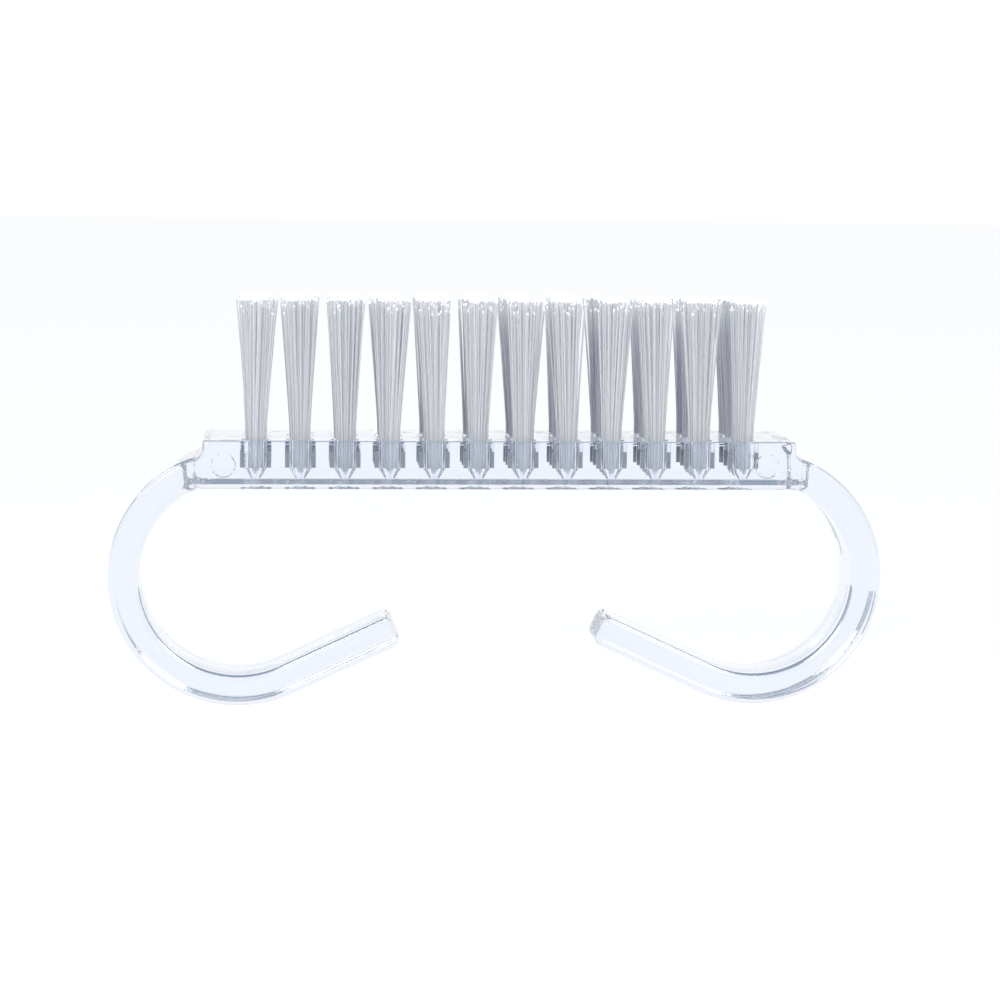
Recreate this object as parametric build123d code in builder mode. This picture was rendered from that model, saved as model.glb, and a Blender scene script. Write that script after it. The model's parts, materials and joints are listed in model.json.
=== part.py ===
from build123d import *
from math import cos, radians, sin, sqrt
import os

# Clear acrylic nail brush: a moulded bar with a finger hook under each end, and rows of
# bristle tufts, each folded over a metal anchor plate and driven into a blind hole.
# Millimetres. X runs along the bar, Y across it from front to back, Z up to the bristle tips.
# The origin is under the middle of the bar, level with the lowest points of the two hooks.

# --- the bar ---
bar_length = 72.0
bar_depth = 15.0
bar_height = 5.9
bar_edge_radius = 0.35        # around the top face

# --- the hooks ---
hook_inner_radius = 12.05
hook_thickness = 3.75
hook_width = 8.5
hook_inset = 4.2              # from the bar's end in to the middle of the hook's circle
hook_turn_past_bottom = 25.0  # degrees that the arc runs on after the lowest point
hook_run = 14.7               # straight run after the arc, up to the tip
hook_tip_radius = 1.0         # corners of the tip, seen from the front
flare_inset = 0.9             # from the bar's end in to where its depth starts to narrow
flare_length = 3.8            # over which it narrows to the hook's width
root_radius = 1.3             # hollow where the hook's back meets the bar's end
under_radius = 5.0            # hollow where the hook's inside meets the bar's underside
body_edge_radius = 0.8        # along the hooks, down the bar's corners and along its underside

# --- round ejector-pin marks on the bar's front face ---
mark_diameter = 3.0
mark_depth = 0.15
mark_taper = 45               # degrees that the wall of a mark leans outward
mark_from_left_end = 2.5
mark_from_right_end = 3.6

# --- tufts and their holes ---
columns = 12
row_names = ["front", "middle", "back"]
end_margin = 6.35             # from the bar's end to the middle of the first hole
side_wall = 0.8               # acrylic left between the outer holes and the bar's long faces
hole_diameter = 2.8
hole_floor = 1.3              # acrylic left under a hole
hole_cone_height = 1.25
hole_end_diameter = 1.2
hole_rim = 0.3                # bevel around a hole's mouth
tuft_clearance = 0.05         # between a tuft and the wall of its hole, on the radius
tuft_end_clearance = 0.15     # under a tuft
tuft_height = 17.1            # bristle tips above the bar
tip_gap = 0.7                 # between neighbouring tufts at their tips

# --- anchor plates ---
anchor_thickness = 0.28
anchor_drop = 1.4             # from the bar's top down to the plate's top edge
anchor_bite = 0.45            # that each end of the plate cuts into the wall
anchor_clearance = 0.02

# --- worked out from the sizes above ---
bar_end = bar_length / 2
bar_front = -bar_depth / 2
hook_outer_radius = hook_inner_radius + hook_thickness
hook_centre_x = bar_end - hook_inset
hook_centre_z = hook_outer_radius
# the inside of the hook springs from the bottom corner of the bar's end
bar_bottom = hook_centre_z + sqrt(hook_inner_radius**2 - hook_inset**2)
bar_top = bar_bottom + bar_height

hole_radius = hole_diameter / 2
hole_depth = bar_height - hole_floor
hole_straight = hole_depth - hole_cone_height
column_pitch = (bar_length - 2 * end_margin) / (columns - 1)
row_pitch = bar_depth / 2 - side_wall - hole_radius
tuft_radius = hole_radius - tuft_clearance
tip_radius = (min(column_pitch, row_pitch) - tip_gap) / 2
anchor_length = hole_diameter + 2 * anchor_bite
anchor_height = hole_straight - anchor_drop
anchor_foot = bar_top - hole_straight


def row_y(row):
    """Place of a row of holes across the bar."""
    return (row - (len(row_names) - 1) / 2) * row_pitch


def column_x(column):
    """Place of a hole along the bar."""
    return (column - (columns - 1) / 2) * column_pitch


# --- body: the side outline through the bar's full depth, then narrowed to the hooks ---
arc_turn = -(180 + hook_turn_past_bottom)
run = Vector(-cos(radians(hook_turn_past_bottom)), sin(radians(hook_turn_past_bottom))) * hook_run
flare_start = (bar_end - flare_inset, bar_depth / 2)
flare_end = (flare_start[0] + flare_length, hook_width / 2)
flare_middle = ((flare_start[0] + flare_end[0]) / 2, (flare_start[1] + flare_end[1]) / 2)
far_x = hook_centre_x + hook_outer_radius + 1
pocket_depth = (bar_depth - hook_width) / 2
pocket_y = (bar_depth + hook_width) / 4

with BuildPart() as hole:
    with BuildSketch(Plane.XZ):
        with BuildLine():
            Polyline(
                (0, 0),
                (hole_radius + hole_rim, 0),
                (hole_radius, -hole_rim),
                (hole_radius, -hole_straight),
                (hole_end_diameter / 2, -hole_depth),
                (0, -hole_depth),
                close=True,
            )
        make_face()
    revolve(axis=Axis.Z)
    # groove that the anchor plate cuts on its way down
    with BuildSketch(Plane.XY):
        Rectangle(anchor_length + 2 * anchor_clearance, anchor_thickness + 2 * anchor_clearance)
    extrude(amount=-(hole_straight + anchor_clearance))


def at_bar_end(vertex):
    """True for a corner of the outline on the bar's end face, below its top."""
    return abs(abs(vertex.X) - bar_end) < 0.01 and vertex.Y < bar_top - bar_edge_radius


def on_flank(edge):
    """True for the edges where the outline's surface meets the two flanks, below the top face."""
    middle = edge.center()
    direction = edge % 0.5
    straight = edge.geom_type == GeomType.LINE
    across = straight and abs(direction.Y) > 0.9
    seam = straight and abs(direction.Z) > 0.95 and abs(abs(middle.X) - bar_end) > 0.01
    return not across and not seam and middle.Z < bar_top - 0.01


with BuildPart() as body:
    with BuildSketch(Plane.XZ) as side:
        with BuildLine():
            outer = CenterArc((hook_centre_x, hook_centre_z), hook_outer_radius, 90, arc_turn)
            inner = CenterArc((hook_centre_x, hook_centre_z), hook_inner_radius, 90, arc_turn)
            under = Line(outer @ 1, outer @ 1 + run)
            over = Line(inner @ 1, inner @ 1 + run)
            Line(under @ 1, over @ 1)
            Line(outer @ 0, inner @ 0)
        make_face()
        fillet(side.vertices().sort_by(Axis.X)[:2], radius=hook_tip_radius)
        mirror(about=Plane.YZ)
        with Locations((0, bar_bottom + bar_height / 2)):
            Rectangle(bar_length, bar_height)
        fillet(side.vertices().filter_by(at_bar_end).group_by(Axis.Y)[-1], radius=root_radius)
        fillet(side.vertices().filter_by(at_bar_end).group_by(Axis.Y)[0], radius=under_radius)
    extrude(amount=bar_depth / 2, both=True)
    with BuildSketch(Plane.XY):
        with BuildLine():
            flat = Line((0, bar_depth / 2), flare_start)
            bulge = TangentArc(flat @ 1, flare_middle, tangent=flat % 1)
            hollow = TangentArc(bulge @ 1, flare_end, tangent=bulge % 1)
            flank = Line(hollow @ 1, (far_x, hook_width / 2))
            Polyline(flank @ 1, (far_x, 0), (0, 0), flat @ 0)
        make_face()
        mirror(about=Plane.XZ)
        mirror(about=Plane.YZ)
    extrude(amount=bar_top, mode=Mode.INTERSECT)
    # the hooks' lower halves, which pass under the bar, keep to the hooks' width
    with BuildSketch(Plane.XY):
        with Locations((0, pocket_y), (0, -pocket_y)):
            Rectangle(2 * far_x, pocket_depth)
    extrude(amount=hook_centre_z, mode=Mode.SUBTRACT)
    fillet(body.edges().filter_by(on_flank), radius=body_edge_radius)
    fillet(body.faces().sort_by(Axis.Z)[-1].edges(), radius=bar_edge_radius)
    # ejector-pin marks
    mark_places = [
        (-bar_end + mark_from_left_end, bar_bottom + bar_height / 2),
        (bar_end - mark_from_right_end, bar_bottom + bar_height / 2),
    ]
    with BuildSketch(Plane.XZ.offset(-bar_front)):
        with Locations(mark_places):
            Circle(mark_diameter / 2)
    extrude(amount=-mark_depth, taper=mark_taper, mode=Mode.SUBTRACT)
    with Locations((0, 0, bar_top)):
        with GridLocations(column_pitch, row_pitch, columns, len(row_names)):
            add(hole.part, mode=Mode.SUBTRACT)

os.makedirs("parts", exist_ok=True)
body.part.label = "body"
export_step(body.part, "parts/body.step")

# --- tufts: a bundle folded under its anchor plate, tapering into the hole's end below and
# --- spreading from the bar's top to the trimmed tips above
tuft_foot = bar_top - hole_depth + tuft_end_clearance
tuft_foot_radius = hole_end_diameter / 2 - tuft_clearance
anchor_middle = anchor_foot + anchor_height / 2

with BuildPart() as tuft:
    with BuildSketch(Plane.XZ):
        with BuildLine():
            Polyline(
                (0, tuft_foot),
                (tuft_foot_radius, tuft_foot),
                (tuft_radius, anchor_foot),
                (tuft_radius, bar_top),
                (tip_radius, bar_top + tuft_height),
                (0, bar_top + tuft_height),
                close=True,
            )
        make_face()
    revolve(axis=Axis.Z)
    with BuildSketch(Plane.XZ):
        with Locations((0, anchor_middle)):
            Rectangle(anchor_length, anchor_height + 2 * anchor_clearance)
    extrude(amount=anchor_thickness / 2 + anchor_clearance, both=True, mode=Mode.SUBTRACT)

for row, row_name in enumerate(row_names):
    for column in range(columns):
        with BuildPart() as one_tuft:
            with Locations((column_x(column), row_y(row), 0)):
                add(tuft.part)
        name = f"tuft_{row_name}_{column + 1:02d}"
        one_tuft.part.label = name
        export_step(one_tuft.part, f"parts/{name}.step")

# --- anchor plates: one node for each row, its plates separate solids ---
for row, row_name in enumerate(row_names):
    with BuildPart() as anchors:
        with BuildSketch(Plane.XZ.offset(-row_y(row))):
            with Locations([(column_x(column), anchor_middle) for column in range(columns)]):
                Rectangle(anchor_length, anchor_height)
        extrude(amount=anchor_thickness / 2, both=True)
    name = f"anchors_{row_name}"
    anchors.part.label = name
    export_step(anchors.part, f"parts/{name}.step")
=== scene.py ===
# %% [markdown]
# # A clear acrylic nail brush
# The brush is one clear moulding, a bar with a finger hook curling under each end, and three
# rows of tufts made of clear nylon filament. Every tuft is folded in half over a small metal
# plate and driven into a blind hole, so the plates show through the bar. This lesson builds its
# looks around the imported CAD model, which gives every size and place.

# %% Load the frame
import json
import math

import bmesh
import bpy
from mathutils import Matrix, Vector

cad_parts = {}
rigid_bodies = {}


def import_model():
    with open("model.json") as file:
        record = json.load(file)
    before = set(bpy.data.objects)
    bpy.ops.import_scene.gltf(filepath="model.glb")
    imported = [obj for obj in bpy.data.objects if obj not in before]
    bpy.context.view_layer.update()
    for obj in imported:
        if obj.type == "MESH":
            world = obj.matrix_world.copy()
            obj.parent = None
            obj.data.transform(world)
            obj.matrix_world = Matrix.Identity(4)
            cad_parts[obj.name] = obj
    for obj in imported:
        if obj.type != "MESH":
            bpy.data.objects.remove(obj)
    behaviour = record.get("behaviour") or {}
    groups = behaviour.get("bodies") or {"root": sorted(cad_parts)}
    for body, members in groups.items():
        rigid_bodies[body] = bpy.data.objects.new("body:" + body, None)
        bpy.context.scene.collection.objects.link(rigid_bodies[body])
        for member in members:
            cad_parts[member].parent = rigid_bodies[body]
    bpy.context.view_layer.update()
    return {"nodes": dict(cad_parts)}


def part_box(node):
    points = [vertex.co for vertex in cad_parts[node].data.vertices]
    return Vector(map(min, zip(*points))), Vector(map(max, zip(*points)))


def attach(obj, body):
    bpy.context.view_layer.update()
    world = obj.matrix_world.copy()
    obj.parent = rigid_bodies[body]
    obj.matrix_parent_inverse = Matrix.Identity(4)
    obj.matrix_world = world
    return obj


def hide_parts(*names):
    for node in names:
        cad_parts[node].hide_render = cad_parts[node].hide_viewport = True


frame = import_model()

MM = 0.001
scene = bpy.context.scene

# %% [markdown]
# ## Sizes
# The sizes that the looks need are read off the CAD boxes. They could be typed in again here,
# but then a change to the CAD model would leave the bristles behind. A tuft's box gives its foot
# in the hole, its tips and its spread, the plates' box gives where the filaments fold, and the
# body's box gives the top of the bar.

# %% Sizes from the frame
body_low, body_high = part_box("body")
BAR_TOP = body_high.z
ROWS = ("front", "middle", "back")
TUFTS = {row: sorted(n for n in frame["nodes"] if n.startswith(f"tuft_{row}_")) for row in ROWS}
tuft_low, tuft_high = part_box(TUFTS["front"][0])
TUFT_FOOT = tuft_low.z
TIP_TOP = tuft_high.z
TIP_RADIUS = (tuft_high.x - tuft_low.x) / 2
plate_low, plate_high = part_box("anchors_front")
PLATE_FOOT = plate_low.z
PLATE_THICKNESS = plate_high.y - plate_low.y
print(f"bar top {BAR_TOP / MM:.2f}, tips {TIP_TOP / MM:.2f}, plate foot {PLATE_FOOT / MM:.2f} mm")

# %% [markdown]
# ## The camera
# A long lens about a third of a metre away looks slightly down on the brush from left of its
# middle, so the bar's top shows as a thin band and the right hook shows more of its inside. The
# camera's matrix is worked out from three angles, which are easier to adjust by eye than a
# target point and a twist.

# %% Camera
CAMERA_PLACE = Vector((-25.3, -334.0, 66.0)) * MM
CAMERA_YAW = math.radians(4.40)
CAMERA_PITCH = math.radians(6.98)
CAMERA_ROLL = math.radians(0.615)
CAMERA_LENS = 98.2
CAMERA_SENSOR = 36
CAMERA_NEAREST = 10 * MM


def camera_matrix(place, yaw, pitch, roll):
    """World matrix of a camera that looks along +Y turned by yaw, down by pitch, then rolled."""
    forward = Vector((math.sin(yaw) * math.cos(pitch), math.cos(yaw) * math.cos(pitch), -math.sin(pitch)))
    level = Vector((math.cos(yaw), -math.sin(yaw), 0))
    upright = level.cross(forward)
    right = level * math.cos(roll) + upright * math.sin(roll)
    up = right.cross(forward)
    return Matrix.Translation(place) @ Matrix((right, up, -forward)).transposed().to_4x4()


camera_data = bpy.data.cameras.new("camera")
camera_data.lens = CAMERA_LENS
camera_data.sensor_width = CAMERA_SENSOR
camera_data.clip_start = CAMERA_NEAREST
camera = bpy.data.objects.new("camera", camera_data)
scene.collection.objects.link(camera)
camera.matrix_world = camera_matrix(CAMERA_PLACE, CAMERA_YAW, CAMERA_PITCH, CAMERA_ROLL)
scene.camera = camera
print("camera at", [round(v / MM, 1) for v in CAMERA_PLACE], "mm, lens", CAMERA_LENS, "mm")

# %% [markdown]
# ## Shared shader tools
# Every finish here is a small node tree, and building one by hand takes many lines. A few
# helpers keep the trees readable: they make a material, add a node with its inputs, mix two
# colours by a mask, and map a value from one range to another.

# %% Node helpers
MIX_COLOUR_A, MIX_COLOUR_B, MIX_COLOUR_RESULT = 6, 7, 2   # sockets of a Mix node set to colour


def set_inputs(tree, node, inputs):
    """Sets a node's inputs by name or number, or links those whose value is a node's output."""
    for key, value in inputs.items():
        if isinstance(value, bpy.types.NodeSocket):
            tree.links.new(value, node.inputs[key])
        else:
            node.inputs[key].default_value = value


def add_node(tree, kind, inputs=None, **settings):
    """Adds a node, sets its settings, then its inputs."""
    node = tree.nodes.new(kind)
    for key, value in settings.items():
        setattr(node, key, value)
    set_inputs(tree, node, inputs or {})
    return node


def blend_colours(tree, factor, first, second):
    """A colour that goes from the first to the second as the factor goes from 0 to 1."""
    inputs = {"Factor": factor, MIX_COLOUR_A: first, MIX_COLOUR_B: second}
    return add_node(tree, "ShaderNodeMix", inputs, data_type="RGBA").outputs[MIX_COLOUR_RESULT]


def rescale(tree, value, old, new):
    """A value moved from one range to another, kept inside the new one."""
    inputs = {"Value": value, "From Min": old[0], "From Max": old[1], "To Min": new[0], "To Max": new[1]}
    return add_node(tree, "ShaderNodeMapRange", inputs).outputs[0]


print("node helpers ready")

# %% Material helpers


def new_material(name):
    """A material with only its Principled shader and its output."""
    material = bpy.data.materials.new(name)
    material.use_nodes = True
    return material, material.node_tree.nodes["Principled BSDF"]


def let_lamps_through(material, principled, tint):
    """Lamps reach what is behind this material, dimmed by a tint, as they do through clear stuff."""
    tree = material.node_tree
    rays = add_node(tree, "ShaderNodeLightPath")
    clear = add_node(tree, "ShaderNodeBsdfTransparent", {"Color": tint})
    shaders = {0: rays.outputs["Is Shadow Ray"], 1: principled.outputs[0], 2: clear.outputs[0]}
    mix = add_node(tree, "ShaderNodeMixShader", shaders)
    set_inputs(tree, tree.nodes["Material Output"], {"Surface": mix.outputs[0]})


print("material helpers ready")

# %% [markdown]
# ## Clear acrylic
# Moulded acrylic is glassy, with a cold tint and a surface that is never perfectly flat: the
# mould leaves a very slight waviness that makes lines seen through it wander. The waviness could
# be modelled, but it is far finer than the mesh, so a low noise bump gives it. A plain glass
# shader would put the tufts' roots in deep shadow, so lamps see the acrylic as almost
# transparent.

# %% Acrylic material
ACRYLIC_TINT = (0.87, 0.905, 0.975, 1)
ACRYLIC_SHADOW = (0.93, 0.95, 0.97, 1)
ACRYLIC_ROUGHNESS = 0.015
ACRYLIC_IOR = 1.49
WAVES_PER_METRE = 160.0
WAVE_HEIGHT = 0.4 * MM
WAVE_STRENGTH = 0.06


def make_acrylic():
    """Clear moulded acrylic with a faint tint and mould waviness."""
    material, principled = new_material("clear_acrylic")
    tree = material.node_tree
    place = add_node(tree, "ShaderNodeTexCoord").outputs["Object"]
    waves = add_node(tree, "ShaderNodeTexNoise", {"Vector": place, "Scale": WAVES_PER_METRE, "Detail": 1.0})
    heights = {"Height": waves.outputs["Fac"], "Strength": WAVE_STRENGTH, "Distance": WAVE_HEIGHT}
    bump = add_node(tree, "ShaderNodeBump", heights)
    finish = {
        "Base Color": ACRYLIC_TINT,
        "Roughness": ACRYLIC_ROUGHNESS,
        "IOR": ACRYLIC_IOR,
        "Transmission Weight": 1.0,
        "Normal": bump.outputs["Normal"],
    }
    set_inputs(tree, principled, finish)
    let_lamps_through(material, principled, ACRYLIC_SHADOW)
    return material


acrylic = make_acrylic()
print("made", acrylic.name)

# %% [markdown]
# ## The moulded body
# The bar and both hooks are one moulding. The CAD body already has the right shape, so nothing
# is remodelled, but its mesh is loose triangles, which would shade as facets. A copy is welded,
# smoothed up to its sharp edges, and given normals weighted by face area, so that the flat faces
# stay optically flat beside their rounded edges. The copy stands in for the CAD node.

# %% Body
SHARP_ANGLE = math.radians(32)
WELD_DISTANCE = 0.001 * MM
FLAT_WEIGHT = 100            # leans the normals to the larger face as far as they go


def weld_mesh(source, distance):
    """A copy of a mesh with the corners of its loose triangles joined."""
    shape = bmesh.new()
    shape.from_mesh(source)
    bmesh.ops.remove_doubles(shape, verts=shape.verts, dist=distance)
    mesh = bpy.data.meshes.new(source.name + "_welded")
    shape.to_mesh(mesh)
    shape.free()
    # normals stored for the loose triangles no longer fit the welded corners
    if "custom_normal" in mesh.attributes:
        mesh.attributes.remove(mesh.attributes["custom_normal"])
    return mesh


body_mesh = weld_mesh(frame["nodes"]["body"].data, WELD_DISTANCE)
body_mesh.shade_smooth()
body_mesh.set_sharp_from_angle(angle=SHARP_ANGLE)
body_mesh.materials.append(acrylic)
body = bpy.data.objects.new("acrylic_body", body_mesh)
scene.collection.objects.link(body)
weighted = body.modifiers.new("flats_stay_flat", "WEIGHTED_NORMAL")
weighted.keep_sharp = True
weighted.weight = FLAT_WEIGHT
weighted.mode = "FACE_AREA_WITH_ANGLE"
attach(body, "root")
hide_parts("body")
print("body:", len(body_mesh.vertices), "vertices,", len(body_mesh.polygons), "faces")

# %% [markdown]
# ## Nylon filament
# The filament is clear nylon, which looks pale grey in a bundle and nearly white at its cut
# ends. The cut ends are paler in colour, and they also glow faintly as a painted highlight. Fully
# clear filament turns dark where dozens lie behind each other, because every one bends the light
# away, so half of the light is scattered instead, and lamps shine through. Each filament carries
# two attributes from its node tree, a tone of its own and how far up the tuft it is, so the
# pattern follows the filament and needs no UV map.

# %% Bristle material
NYLON_GREYEST = (0.80, 0.815, 0.825, 1)
NYLON_PALEST = (0.94, 0.945, 0.95, 1)
NYLON_SHADOW = (0.9, 0.9, 0.92, 1)
NYLON_ROUGHNESS = 0.3
NYLON_IOR = 1.53
NYLON_CLEARNESS = 0.5
CUT_END = (0.985, 0.995)     # where along a filament its pale cut end begins and is complete
CUT_COLOUR = (1.0, 1.0, 1.0, 1)
# the cut ends also glow faintly by emission: a painted highlight, though they are no lamp
CUT_PAINTED_GLOW = (0.3, 0.3, 0.3, 1)
NO_PAINTED_GLOW = (0.0, 0.0, 0.0, 1)


def make_nylon():
    """Clear nylon filament: a slightly different tone on each one, paler at the cut ends, which also glow
    faintly as a painted highlight.
    """
    material, principled = new_material("clear_nylon")
    tree = material.node_tree
    tone = add_node(tree, "ShaderNodeAttribute", attribute_name="tone").outputs["Fac"]
    along = add_node(tree, "ShaderNodeAttribute", attribute_name="along").outputs["Fac"]
    shade = blend_colours(tree, tone, NYLON_GREYEST, NYLON_PALEST)
    cut = rescale(tree, along, CUT_END, (0.0, 1.0))
    finish = {
        "Base Color": blend_colours(tree, cut, shade, CUT_COLOUR),
        # painted highlight: the cut ends glow, though they are no lamp
        "Emission Color": blend_colours(tree, cut, NO_PAINTED_GLOW, CUT_PAINTED_GLOW),
        "Emission Strength": 1.0,
        "Roughness": NYLON_ROUGHNESS,
        "IOR": NYLON_IOR,
        "Transmission Weight": NYLON_CLEARNESS,
    }
    set_inputs(tree, principled, finish)
    let_lamps_through(material, principled, NYLON_SHADOW)
    return material


nylon = make_nylon()
print("made", nylon.name)

# %% [markdown]
# ## One tuft, grown by Geometry Nodes
# A tuft is a bundle of filaments folded in half. Hair curves could be combed into the shape, but
# it follows a rule, so a node tree grows it. The tree spreads points over half a disc, puts a
# line of curve points on each, and bends every line into a U: down one side of the anchor plate,
# under it, and up the other side to the trimmed tips, spreading as it rises. Sizes are named
# inputs, and a seed makes each tuft a little different.

# %% Tree writer


class Recipe:
    """Adds nodes to one Geometry Nodes tree; every method but node returns an output socket."""

    def __init__(self, tree):
        self.tree = tree

    def node(self, kind, inputs=None, **settings):
        return add_node(self.tree, kind, inputs, **settings)

    def math(self, operation, a, b=0.0):
        return self.node("ShaderNodeMath", {0: a, 1: b}, operation=operation).outputs[0]

    def mix(self, factor, a, b):
        # 2 and 3 are the sockets of a Mix node's two numbers
        return self.node("ShaderNodeMix", {0: factor, 2: a, 3: b}, clamp_factor=True).outputs[0]

    def random(self, low, high, seed):
        # 2, 3 and 8 are the sockets of a random number's limits and its seed
        inputs = {2: low, 3: high, 8: seed}
        return self.node("FunctionNodeRandomValue", inputs, data_type="FLOAT").outputs[1]

    def vector(self, x, y, z):
        return self.node("ShaderNodeCombineXYZ", {0: x, 1: y, 2: z}).outputs[0]


print("tree writer ready")

# %% Tuft tree
CURVE_POINTS = 19
FILAMENT_SIDES = 6
FOLD_SHARE = 0.28            # share of each half that runs under the plate
GOLDEN_TURN = math.pi * (3 - math.sqrt(5))
TRIM_POWER = 4.0             # how rare a short filament is
FAN_POWER = 1.12             # how late a filament fans out on its way up
CORE_POWER = 0.45            # how much less the bundle's core opens than its rim
STRAY_SHARE = 0.12           # share of the spread that a filament's end strays by
SPREAD_FILL = 0.94           # share of the spread that the ends take up
TUFT_SIZES = (
    "Centre X",
    "Centre Y",
    "Bundle Radius",
    "Tip Spread X",
    "Tip Spread Y",
    "Bar Top",
    "Tip Top",
    "Plate Foot",
    "Plate Half Thickness",
    "Fold Depth",
    "Foot Share",
    "Filament Radius",
    "Trim Scatter",
    "Lean X",
    "Lean Y",
)
TUFT_COUNTS = ("Filaments", "Seed")


def make_tuft_tree():
    """The node tree that grows one folded tuft."""
    tree = bpy.data.node_groups.new("folded_tuft", "GeometryNodeTree")
    for name in TUFT_SIZES:
        tree.interface.new_socket(name, in_out="INPUT", socket_type="NodeSocketFloat")
    for name in TUFT_COUNTS:
        tree.interface.new_socket(name, in_out="INPUT", socket_type="NodeSocketInt")
    tree.interface.new_socket("Material", in_out="INPUT", socket_type="NodeSocketMaterial")
    tree.interface.new_socket("Tuft", in_out="OUTPUT", socket_type="NodeSocketGeometry")
    r = Recipe(tree)
    given = r.node("NodeGroupInput").outputs

    # a place in the half bundle for each filament, clear of the plate
    index = r.node("GeometryNodeInputIndex").outputs[0]
    share = r.math("DIVIDE", r.math("ADD", index, 0.5), given["Filaments"])
    reach = r.math("MULTIPLY", r.math("SQRT", share), given["Bundle Radius"])
    turn = r.math("ADD", r.math("MULTIPLY", index, GOLDEN_TURN), given["Seed"])
    root_x = r.math("MULTIPLY", reach, r.math("COSINE", turn))
    root_y = r.math("MULTIPLY", reach, r.math("ABSOLUTE", r.math("SINE", turn)))
    clear = r.math("ADD", given["Plate Half Thickness"], given["Filament Radius"])
    root_y = r.math("MAXIMUM", root_y, clear)
    points = r.node("GeometryNodePoints", {"Count": given["Filaments"]}).outputs[0]

    def remember(geometry, value):
        """Keeps a value of each point, so that its filament can still read it later."""
        store = r.node("GeometryNodeCaptureAttribute", {"Geometry": geometry}, domain="POINT")
        store.capture_items.new("FLOAT", "Value")
        tree.links.new(value, store.inputs[1])
        return store.outputs["Geometry"], store.outputs[1]

    def chance(low, high, offset):
        """A random number for each point, different for each offset and seed."""
        return r.random(low, high, r.math("ADD", given["Seed"], float(offset)))

    kept = {}
    values = {
        "root_x": root_x,
        "root_y": root_y,
        "tone": chance(0.0, 1.0, 11),
        "cut_a": r.math("POWER", chance(0.0, 1.0, 21), TRIM_POWER),
        "cut_b": r.math("POWER", chance(0.0, 1.0, 31), TRIM_POWER),
        "stray_ax": chance(-1.0, 1.0, 41),
        "stray_ay": chance(-1.0, 1.0, 51),
        "stray_bx": chance(-1.0, 1.0, 61),
        "stray_by": chance(-1.0, 1.0, 71),
    }
    for key, value in values.items():
        points, kept[key] = remember(points, value)

    # a line of curve points on every place
    line = r.node("GeometryNodeCurvePrimitiveLine").outputs[0]
    line = r.node("GeometryNodeResampleCurve", {"Curve": line, "Count": CURVE_POINTS}).outputs[0]
    placed = r.node("GeometryNodeInstanceOnPoints", {"Points": points, "Instance": line}).outputs[0]
    strands = r.node("GeometryNodeRealizeInstances", {0: placed}).outputs[0]

    # how far along the U each curve point is: 0 under the plate, 1 at either tip
    along = r.node("GeometryNodeSplineParameter").outputs["Factor"]
    second = r.math("GREATER_THAN", along, 0.5)
    side = r.math("SUBTRACT", r.math("MULTIPLY", second, 2.0), 1.0)
    half = r.math("ABSOLUTE", r.math("SUBTRACT", r.math("MULTIPLY", along, 2.0), 1.0))
    folded = r.math("DIVIDE", r.math("MINIMUM", half, FOLD_SHARE), FOLD_SHARE)
    bend = r.math("MULTIPLY", folded, math.pi / 2)
    past_fold = r.math("MAXIMUM", r.math("SUBTRACT", half, FOLD_SHARE), 0.0)
    rise = r.math("DIVIDE", past_fold, 1 - FOLD_SHARE)

    # height: the outer filaments fold deepest, and the ends are trimmed a little unevenly
    depth = r.math("DIVIDE", kept["root_y"], given["Bundle Radius"])
    sunk = r.math("MULTIPLY", r.math("MULTIPLY", depth, r.math("COSINE", bend)), given["Fold Depth"])
    cut = r.math("MULTIPLY", r.mix(second, kept["cut_a"], kept["cut_b"]), given["Trim Scatter"])
    top = r.math("SUBTRACT", given["Tip Top"], cut)
    climb = r.math("MULTIPLY", r.math("SUBTRACT", top, given["Plate Foot"]), rise)
    z = r.math("SUBTRACT", r.math("ADD", given["Plate Foot"], climb), sunk)

    # across: drawn in by the hole's tapered end, straight in the hole, spreading above the bar
    narrow = r.mix(r.math("DIVIDE", sunk, given["Fold Depth"]), 1.0, given["Foot Share"])
    low_x = r.math("MULTIPLY", kept["root_x"], narrow)
    low_y = r.math("MULTIPLY", r.math("MULTIPLY", kept["root_y"], side), r.math("SINE", bend))
    free = r.math("SUBTRACT", given["Tip Top"], given["Bar Top"])
    above = r.math("DIVIDE", r.math("MAXIMUM", r.math("SUBTRACT", z, given["Bar Top"]), 0.0), free)
    fan = r.math("POWER", above, FAN_POWER)

    # the bundle opens least in its core, so the tips are dense there and thin at the fringe
    square_x = r.math("MULTIPLY", kept["root_x"], kept["root_x"])
    square_y = r.math("MULTIPLY", kept["root_y"], kept["root_y"])
    distance = r.math("SQRT", r.math("ADD", square_x, square_y))
    openness = r.math("POWER", r.math("DIVIDE", distance, given["Bundle Radius"]), CORE_POWER)

    def tip(axis, root, stray_a, stray_b, signed):
        """Where a filament's end comes to, across one axis."""
        wide = r.math("MULTIPLY", r.math("DIVIDE", kept[root], given["Bundle Radius"]), openness)
        if signed:
            wide = r.math("MULTIPLY", wide, side)
        stray = r.math("MULTIPLY", r.mix(second, kept[stray_a], kept[stray_b]), STRAY_SHARE)
        wide = r.math("MULTIPLY", r.math("ADD", wide, stray), SPREAD_FILL)
        return r.math("ADD", r.math("MULTIPLY", wide, given[f"Tip Spread {axis}"]), given[f"Lean {axis}"])

    x = r.mix(fan, low_x, tip("X", "root_x", "stray_ax", "stray_bx", False))
    y = r.mix(fan, low_y, tip("Y", "root_y", "stray_ay", "stray_by", True))
    place = r.vector(r.math("ADD", given["Centre X"], x), r.math("ADD", given["Centre Y"], y), z)
    strands = r.node("GeometryNodeSetPosition", {"Geometry": strands, "Position": place}).outputs[0]

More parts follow.
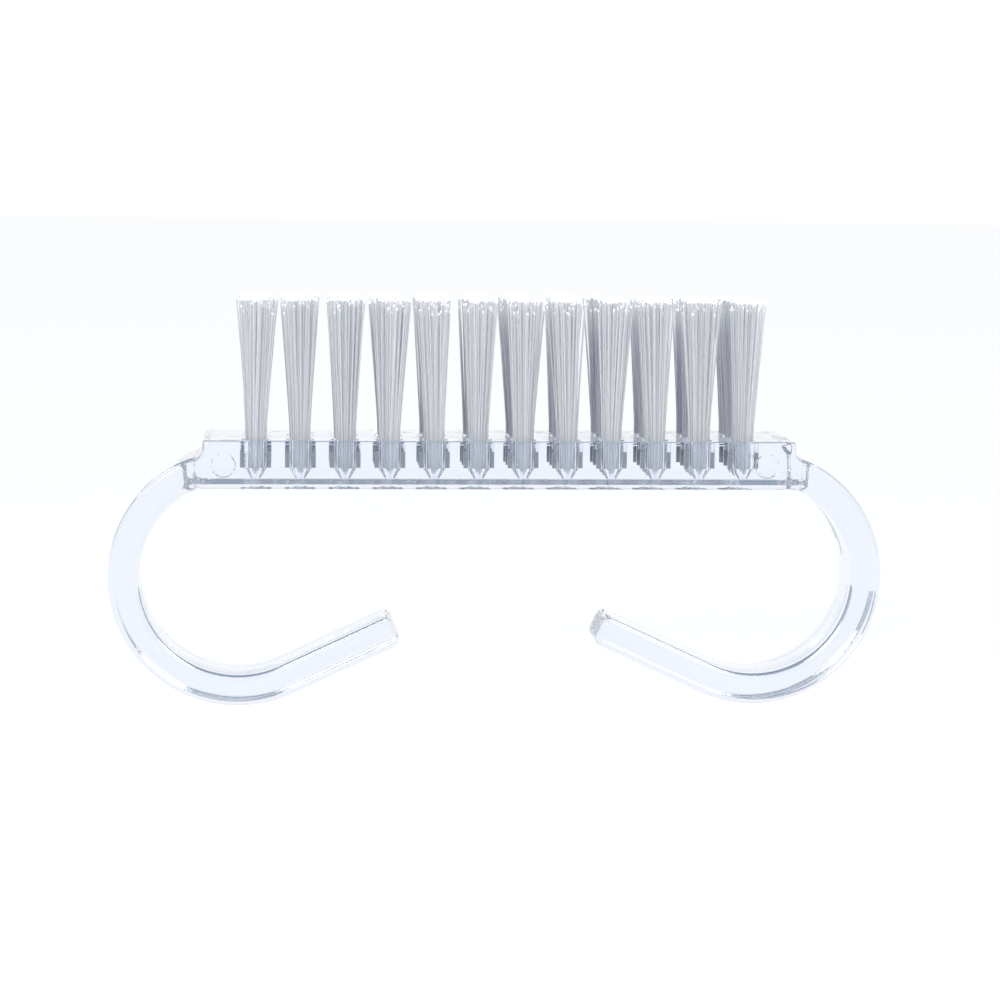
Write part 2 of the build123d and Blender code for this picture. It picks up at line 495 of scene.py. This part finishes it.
    # attributes for the material, then round filaments with closed ends
    for name, value in (("tone", kept["tone"]), ("along", half)):
        inputs = {"Geometry": strands, "Name": name, "Value": value}
        store = r.node("GeometryNodeStoreNamedAttribute", inputs, data_type="FLOAT", domain="POINT")
        strands = store.outputs[0]
    circle = {"Resolution": FILAMENT_SIDES, "Radius": given["Filament Radius"]}
    ring = r.node("GeometryNodeCurvePrimitiveCircle", circle).outputs[0]
    sweep = {"Curve": strands, "Profile Curve": ring, "Fill Caps": True}
    tubes = r.node("GeometryNodeCurveToMesh", sweep).outputs[0]
    smooth = r.node("GeometryNodeSetShadeSmooth", {"Geometry": tubes}).outputs[0]
    real = r.node("GeometryNodeRealizeInstances", {0: smooth}).outputs[0]
    done = r.node("GeometryNodeSetMaterial", {"Geometry": real, "Material": given["Material"]}).outputs[0]
    r.node("NodeGroupOutput", {0: done})
    return tree


tuft_tree = make_tuft_tree()
print("tuft tree:", len(tuft_tree.nodes), "nodes")

# %% [markdown]
# ## Thirty-six tufts
# The real tufts are alike but never equal: each leans a little its own way, and its ends are
# trimmed a little unevenly. One tuft could be copied thirty-six times, but the eye finds a
# repeated pattern at once, so the tree runs anew for every tuft, with its own seed and lean, and
# its result is turned into a plain mesh.

# %% Grow one tuft


def grow_tuft(node, name, sizes):
    """Runs the tuft tree with these sizes and returns its plain mesh as a new piece."""
    seed_mesh = bpy.data.meshes.new(name + "_seed")
    holder = bpy.data.objects.new(name + "_seed", seed_mesh)
    scene.collection.objects.link(holder)
    grower = holder.modifiers.new("grow", "NODES")
    grower.node_group = tuft_tree
    for item in tuft_tree.interface.items_tree:
        if item.in_out == "INPUT":
            grower[item.identifier] = sizes[item.name]
    graph = bpy.context.evaluated_depsgraph_get()
    mesh = bpy.data.meshes.new_from_object(holder.evaluated_get(graph))
    mesh.name = name
    bpy.data.objects.remove(holder)
    bpy.data.meshes.remove(seed_mesh)
    piece = bpy.data.objects.new(name, mesh)
    scene.collection.objects.link(piece)
    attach(piece, "root")
    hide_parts(node)
    return piece


print("tuft grower ready")

# %% Grow every tuft
FILAMENTS = 44
FILAMENT_RADIUS = 0.1 * MM
BUNDLE_RADIUS = 1.2 * MM
TIP_SPREAD_X = TIP_RADIUS + 0.1 * MM     # lets neighbouring tips meet along the bar
TIP_SPREAD_Y = TIP_RADIUS - 0.27 * MM    # keeps the strays inside the tufts' boxes across it
FOOT_SHARE = 0.42                        # share of the bundle's width left at its foot
TRIM_SCATTER = 1.8 * MM
TRIM_ALLOWANCE = 0.02 * MM               # keeps the tilted end caps under the tufts' tops
LEAN_X = 0.32 * MM
LEAN_Y = 0.06 * MM
LEAN_X_STEP = 2.4                        # a tuft's lean swings as a sine wave, by this many
LEAN_Y_STEP = 1.7                        # radians from one tuft to the next
LEAN_X_START = 1.1
SEEDS_PER_ROW = 100
shared_sizes = {
    "Bundle Radius": BUNDLE_RADIUS,
    "Tip Spread X": TIP_SPREAD_X,
    "Tip Spread Y": TIP_SPREAD_Y,
    "Bar Top": BAR_TOP,
    "Tip Top": TIP_TOP - TRIM_ALLOWANCE,
    "Plate Foot": PLATE_FOOT,
    "Plate Half Thickness": PLATE_THICKNESS / 2,
    "Fold Depth": PLATE_FOOT - TUFT_FOOT - FILAMENT_RADIUS,
    "Foot Share": FOOT_SHARE,
    "Filament Radius": FILAMENT_RADIUS,
    "Filaments": FILAMENTS,
    "Trim Scatter": TRIM_SCATTER,
    "Material": nylon,
}
faces = 0
for row_number, row in enumerate(ROWS):
    for column, node in enumerate(TUFTS[row]):
        low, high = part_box(node)
        seed = SEEDS_PER_ROW * row_number + column
        own_sizes = {
            "Centre X": (low.x + high.x) / 2,
            "Centre Y": (low.y + high.y) / 2,
            "Lean X": LEAN_X * math.sin(LEAN_X_STEP * seed + LEAN_X_START),
            "Lean Y": LEAN_Y * math.sin(LEAN_Y_STEP * seed),
            "Seed": seed,
        }
        piece = grow_tuft(node, node.replace("tuft", "bristles"), {**shared_sizes, **own_sizes})
        faces += len(piece.data.polygons)
print("grew", sum(len(nodes) for nodes in TUFTS.values()), "tufts,", faces, "faces")

# %% [markdown]
# ## Anchor plates
# The plates are flattened wire, dull and slightly scratched along their length. Their CAD shapes
# are right, so they only need a finish. The scratches could be drawn one by one, but noise that
# is squeezed hard in height already gives fine streaks along each plate, in tint and roughness.

# %% Anchor plate material
PLATE_DARK = (0.20, 0.22, 0.23, 1)
PLATE_BRIGHT = (0.48, 0.50, 0.52, 1)
PLATE_ROUGHNESS = (0.25, 0.5)
STREAKS_PER_METRE = (300.0, 300.0, 6000.0)


def make_plate_metal():
    """Dull flattened wire with fine scratches along it."""
    material, principled = new_material("plate_metal")
    tree = material.node_tree
    place = add_node(tree, "ShaderNodeTexCoord").outputs["Object"]
    squeezed = add_node(tree, "ShaderNodeMapping", {"Vector": place, "Scale": STREAKS_PER_METRE}).outputs[0]
    noise = add_node(tree, "ShaderNodeTexNoise", {"Vector": squeezed, "Scale": 1.0, "Detail": 3.0})
    scratches = noise.outputs["Fac"]
    finish = {
        "Base Color": blend_colours(tree, scratches, PLATE_DARK, PLATE_BRIGHT),
        "Roughness": rescale(tree, scratches, (0.0, 1.0), PLATE_ROUGHNESS),
        "Metallic": 1.0,
    }
    set_inputs(tree, principled, finish)
    return material


plate_metal = make_plate_metal()
for row in ROWS:
    plates = frame["nodes"][f"anchors_{row}"]
    plates.data.materials.clear()
    plates.data.materials.append(plate_metal)
print("plates finished in", plate_metal.name)

# %% [markdown]
# ## The table
# Clear plastic shows what lies behind and under it, so it stands on a plain white table. Under
# soft light alone the table would look grey beside a white room, so it glows, which also lights
# the hooks from below.

# %% Table
TABLE_SIZE = 6.0
TABLE_BASE = (0.2, 0.2, 0.2, 1)
TABLE_ROUGHNESS = 0.9
TABLE_GLOW = 0.895


def make_table():
    """A plain white table top under the hooks."""
    mesh = bpy.data.meshes.new("table")
    half = TABLE_SIZE / 2
    corners = [(-half, -half, 0), (half, -half, 0), (half, half, 0), (-half, half, 0)]
    mesh.from_pydata(corners, [], [(0, 1, 2, 3)])
    table = bpy.data.objects.new("table", mesh)
    scene.collection.objects.link(table)
    material, principled = new_material("white_table")
    finish = {
        "Base Color": TABLE_BASE,
        "Roughness": TABLE_ROUGHNESS,
        "Specular IOR Level": 0.0,
        "Emission Color": (1, 1, 1, 1),
        "Emission Strength": TABLE_GLOW,
    }
    set_inputs(material.node_tree, principled, finish)
    mesh.materials.append(material)
    return table


table = make_table()
print(table.name, TABLE_SIZE, "m wide")

# %% [markdown]
# ## The room
# In an evenly white room clear plastic would vanish. A studio keeps the wall behind clear goods
# white and everything else dimmer: rays that pass straight through a flat face stay bright, and
# rays bent by an edge end on a dim wall and draw it. Black cards would do that too, but a shaded
# sky has no hard edges to be mirrored. The dim parts are a little blue, as the light in acrylic
# edges is.

# %% Room
WALL_BEHIND = (0.5, 0.9)     # how squarely a ray must look back to see the white wall
FRONT_LEVEL = 0.62
SIDE_WALLS = (0.55, 0.85)    # how squarely a ray must look sideways to see the side walls
SIDE_LEVEL = 0.46
CEILING = (0.3, 0.65)        # how steeply a ray must look up to see the ceiling
CEILING_LEVEL = 0.4
DIM_BLUE = (0.0, 0.09, 0.2, 1)
WHITE = (1.0, 1.0, 1.0, 1)
ROOM_STRENGTH = 1.01
LIGHT_BOUNCES = 32           # enough to get through the bar and its holes
GLOSSY_BOUNCES = 16


def make_room():
    """A world that is white behind the brush and dimmer in front, at the sides and above."""
    world = bpy.data.worlds.new("room")
    world.use_nodes = True
    room = world.node_tree
    direction = add_node(room, "ShaderNodeTexCoord").outputs["Generated"]
    split = add_node(room, "ShaderNodeSeparateXYZ", {0: direction}).outputs
    sideways = add_node(room, "ShaderNodeMath", {0: split["X"]}, operation="ABSOLUTE").outputs[0]
    walls = rescale(room, split["Y"], WALL_BEHIND, (FRONT_LEVEL, 1.0))
    sides = rescale(room, sideways, SIDE_WALLS, (1.0, SIDE_LEVEL))
    ceiling = rescale(room, split["Z"], CEILING, (1.0, CEILING_LEVEL))
    level = add_node(room, "ShaderNodeMath", {0: walls, 1: sides}, operation="MULTIPLY").outputs[0]
    level = add_node(room, "ShaderNodeMath", {0: level, 1: ceiling}, operation="MULTIPLY").outputs[0]
    light = {"Color": blend_colours(room, level, DIM_BLUE, WHITE), "Strength": ROOM_STRENGTH}
    set_inputs(room, room.nodes["Background"], light)
    return world


scene.world = make_room()
scene.view_settings.view_transform = "Standard"
scene.cycles.max_bounces = LIGHT_BOUNCES
scene.cycles.transmission_bounces = LIGHT_BOUNCES
scene.cycles.transparent_max_bounces = LIGHT_BOUNCES
scene.cycles.glossy_bounces = GLOSSY_BOUNCES
print(scene.world.name, "with", LIGHT_BOUNCES, "light bounces")

# %% [markdown]
# ## Two softboxes
# Polished plastic shows small white glints where it mirrors a lamp. A point lamp would make them
# hard dots, so two softboxes stand in front, high to the left and right.

# %% Softboxes
LAMP_TARGET = Vector((0, 0, 0.03))
LAMP_SIZE = 0.35


def add_softbox(name, place, power):
    """A square area light that faces the brush."""
    data = bpy.data.lights.new(name, "AREA")
    data.size = LAMP_SIZE
    data.energy = power
    lamp = bpy.data.objects.new(name, data)
    scene.collection.objects.link(lamp)
    place = Vector(place)
    aim = (LAMP_TARGET - place).to_track_quat("-Z", "Y")
    lamp.matrix_world = Matrix.Translation(place) @ aim.to_matrix().to_4x4()
    return lamp


lamps = [
    add_softbox("left", (-0.45, -0.6, 0.45), 2.2),
    add_softbox("right", (0.5, -0.5, 0.6), 1.6),
]
print("softboxes:", [(lamp.name, round(lamp.data.energy, 1)) for lamp in lamps], "watts")
